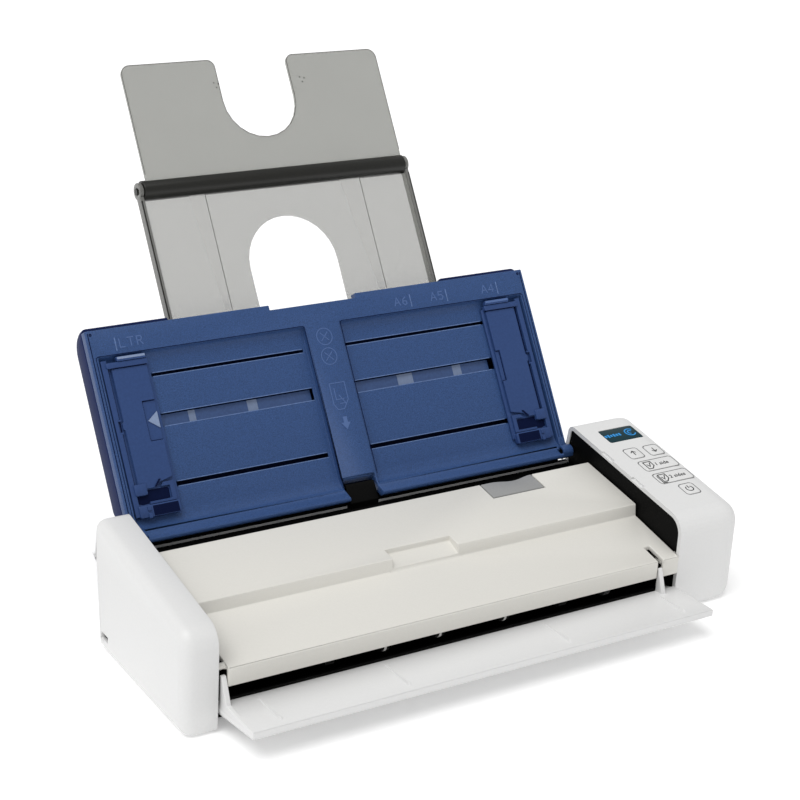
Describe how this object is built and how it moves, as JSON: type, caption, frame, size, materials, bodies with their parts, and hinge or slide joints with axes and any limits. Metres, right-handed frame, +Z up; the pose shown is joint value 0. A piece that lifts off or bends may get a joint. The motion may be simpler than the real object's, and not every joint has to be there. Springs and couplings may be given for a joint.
{
  "type": "sheet fed document scanner",
  "caption": "Portable sheet fed document scanner with a fold-up input tray, adjustable guides, a smoked extension and a fold-down output tray.",
  "frame": {"origin": "middle of the bounding box at the desk", "axes": "+X to the right of the operator, +Y to the back, +Z up; the front faces -Y"},
  "size_m": [0.3004, 0.2512, 0.2354],
  "materials": {
    "white_plastic": "satin",
    "ivory_plastic": "satin",
    "blue_plastic": "satin",
    "black_plastic": "satin",
    "grey_plastic": "satin",
    "smoked_sheet": "clear, smoked",
    "black_rubber": "matt",
    "steel": "plain",
    "circuit_board": "satin",
    "scan_glass": "clear",
    "display_glass": "gloss"
  },
  "bodies": {
    "housing": {"left_end_cap": "white_plastic", "right_end_cap": "white_plastic", "left_inner_wall": "black_plastic", "right_inner_wall": "black_plastic", "base_pan": "black_plastic", "rear_cover": "white_plastic", "lower_paper_guide": "black_plastic", "entry_guide": "black_plastic", "foot_front_left": "black_rubber", "foot_front_right": "black_rubber", "foot_rear_left": "black_rubber", "foot_rear_right": "black_rubber", "main_board": "circuit_board", "button_board": "circuit_board", "display_window": "display_glass", "display_module": "circuit_board", "usb_socket": "steel", "power_socket": "steel", "lower_scan_glass": "scan_glass", "lower_image_sensor": "black_plastic", "drive_motor": "steel", "transfer_post": "steel", "exit_belt": "black_rubber"},
    "cover": {"top_cover": "ivory_plastic", "cover_frame": "black_plastic", "upper_image_sensor": "black_plastic", "upper_scan_glass": "scan_glass", "separation_pad": "black_rubber", "pad_spring": "steel"},
    "latch": {"cover_latch": "grey_plastic"},
    "input_tray": {"tray_front_panel": "blue_plastic", "tray_back_shell": "blue_plastic", "tray_pin_left": "steel", "tray_pin_right": "steel"},
    "guide_left": {"guide_slider_left": "blue_plastic"},
    "guide_right": {"guide_slider_right": "blue_plastic"},
    "fence_left": {"guide_plate_left": "blue_plastic"},
    "fence_right": {"guide_plate_right": "blue_plastic"},
    "pinion": {"guide_pinion": "grey_plastic"},
    "extension": {"extension_lower": "smoked_sheet", "extension_rail_left": "black_plastic", "extension_rail_right": "black_plastic", "extension_rod": "steel"},
    "extension_top": {"extension_upper": "smoked_sheet", "extension_tube": "black_plastic"},
    "output_tray": {"output_tray": "white_plastic"},
    "feed": {"feed_roller": "black_rubber", "feed_gear": "grey_plastic"},
    "drive": {"drive_roller": "black_rubber", "drive_gear": "grey_plastic"},
    "exit": {"exit_roller": "black_rubber"},
    "motor_gear": {"motor_gear": "grey_plastic"},
    "transfer_gear": {"transfer_gear": "grey_plastic"},
    "button_up": {"button_up": "white_plastic"},
    "button_down": {"button_down": "white_plastic"},
    "button_single_side": {"button_single_side": "white_plastic"},
    "button_both_sides": {"button_both_sides": "white_plastic"},
    "button_power": {"button_power": "white_plastic"}
  },
  "joints": [
    {"name": "input_tray_fold", "type": "hinge", "parent": "housing", "child": "input_tray", "pos_m": [-0.0108, -0.00636, 0.0504], "axis": [1, 0, 0], "range_deg": [0, 130]},
    {"name": "guide_left_slide", "type": "slide", "parent": "input_tray", "child": "guide_left", "axis": [1, 0, 0], "range_m": [0, 0.062]},
    {"name": "guide_right_slide", "type": "slide", "parent": "input_tray", "child": "guide_right", "axis": [1, 0, 0], "range_m": [-0.062, 0]},
    {"name": "guide_pinion_spin", "type": "hinge", "parent": "input_tray", "child": "pinion", "pos_m": [-0.0108, 0.02792, 0.09062], "axis": [0, 0.8387, -0.5446], "range_deg": [0, 635]},
    {"name": "fence_left_flip", "type": "hinge", "parent": "guide_left", "child": "fence_left", "pos_m": [-0.1228, -0.00397, 0.04885], "axis": [0, 0.5446, 0.8387], "range_deg": [-90, 0]},
    {"name": "fence_right_flip", "type": "hinge", "parent": "guide_right", "child": "fence_right", "pos_m": [0.1012, -0.00397, 0.04885], "axis": [0, -0.5446, -0.8387], "range_deg": [-90, 0]},
    {"name": "extension_slide", "type": "slide", "parent": "input_tray", "child": "extension", "axis": [0, 0.5446, 0.8387], "range_m": [-0.0565, 0]},
    {"name": "extension_fold", "type": "hinge", "parent": "extension", "child": "extension_top", "pos_m": [-0.0108, 0.09205, 0.18192], "axis": [-1, 0, 0], "range_deg": [0, 175]},
    {"name": "cover_open", "type": "hinge", "parent": "housing", "child": "cover", "pos_m": [-0.0108, -0.09236, 0.029], "axis": [-1, 0, 0], "range_deg": [-60, 0]},
    {"name": "cover_latch_press", "type": "hinge", "parent": "cover", "child": "latch", "pos_m": [-0.0108, -0.03186, 0.04646], "axis": [-1, 0, 0], "range_deg": [0, 15], "stiffness_Nm_per_rad": 0.02, "springref_deg": -2.86},
    {"name": "output_tray_fold", "type": "hinge", "parent": "housing", "child": "output_tray", "pos_m": [-0.0108, -0.09236, 0.0095], "axis": [1, 0, 0], "range_deg": [-41, 0]},
    {"name": "drive_roller_spin", "type": "hinge", "parent": "housing", "child": "drive", "pos_m": [-0.0108, -0.07416, 0.01885], "axis": [1, 0, 0], "continuous": true},
    {"name": "transfer_gear_spin", "type": "hinge", "parent": "housing", "child": "transfer_gear", "pos_m": [-0.0108, -0.05493, 0.03345], "axis": [1, 0, 0], "continuous": true},
    {"name": "feed_roller_spin", "type": "hinge", "parent": "housing", "child": "feed", "pos_m": [-0.0108, -0.02816, 0.02789], "axis": [1, 0, 0], "continuous": true},
    {"name": "motor_gear_spin", "type": "hinge", "parent": "housing", "child": "motor_gear", "pos_m": [-0.0108, -0.04642, 0.01519], "axis": [1, 0, 0], "continuous": true},
    {"name": "exit_roller_spin", "type": "hinge", "parent": "housing", "child": "exit", "pos_m": [-0.0108, -0.08816, 0.01739], "axis": [1, 0, 0], "continuous": true},
    {"name": "button_up_press", "type": "slide", "parent": "housing", "child": "button_up", "axis": [0, 0.1582, -0.9874], "range_m": [0, 0.0009], "stiffness_N_per_m": 500, "springref_m": -0.0005},
    {"name": "button_down_press", "type": "slide", "parent": "housing", "child": "button_down", "axis": [0, 0.1582, -0.9874], "range_m": [0, 0.0009], "stiffness_N_per_m": 500, "springref_m": -0.0005},
    {"name": "button_single_side_press", "type": "slide", "parent": "housing", "child": "button_single_side", "axis": [0, 0.1582, -0.9874], "range_m": [0, 0.0009], "stiffness_N_per_m": 500, "springref_m": -0.0005},
    {"name": "button_both_sides_press", "type": "slide", "parent": "housing", "child": "button_both_sides", "axis": [0, 0.1582, -0.9874], "range_m": [0, 0.0009], "stiffness_N_per_m": 500, "springref_m": -0.0005},
    {"name": "button_power_press", "type": "slide", "parent": "housing", "child": "button_power", "axis": [0, 0.1582, -0.9874], "range_m": [0, 0.0009], "stiffness_N_per_m": 500, "springref_m": -0.0005}
  ],
  "couplings": [
    {"joint": "guide_right_slide", "follows": "guide_left_slide", "ratio": -1},
    {"joint": "guide_pinion_spin", "follows": "guide_left_slide", "rad_per_m": 178.57},
    {"joint": "transfer_gear_spin", "follows": "drive_roller_spin", "ratio": -0.66667},
    {"joint": "feed_roller_spin", "follows": "drive_roller_spin", "ratio": 0.75},
    {"joint": "motor_gear_spin", "follows": "drive_roller_spin", "ratio": 1.7143},
    {"joint": "exit_roller_spin", "follows": "drive_roller_spin", "ratio": 1.6129}
  ]
}
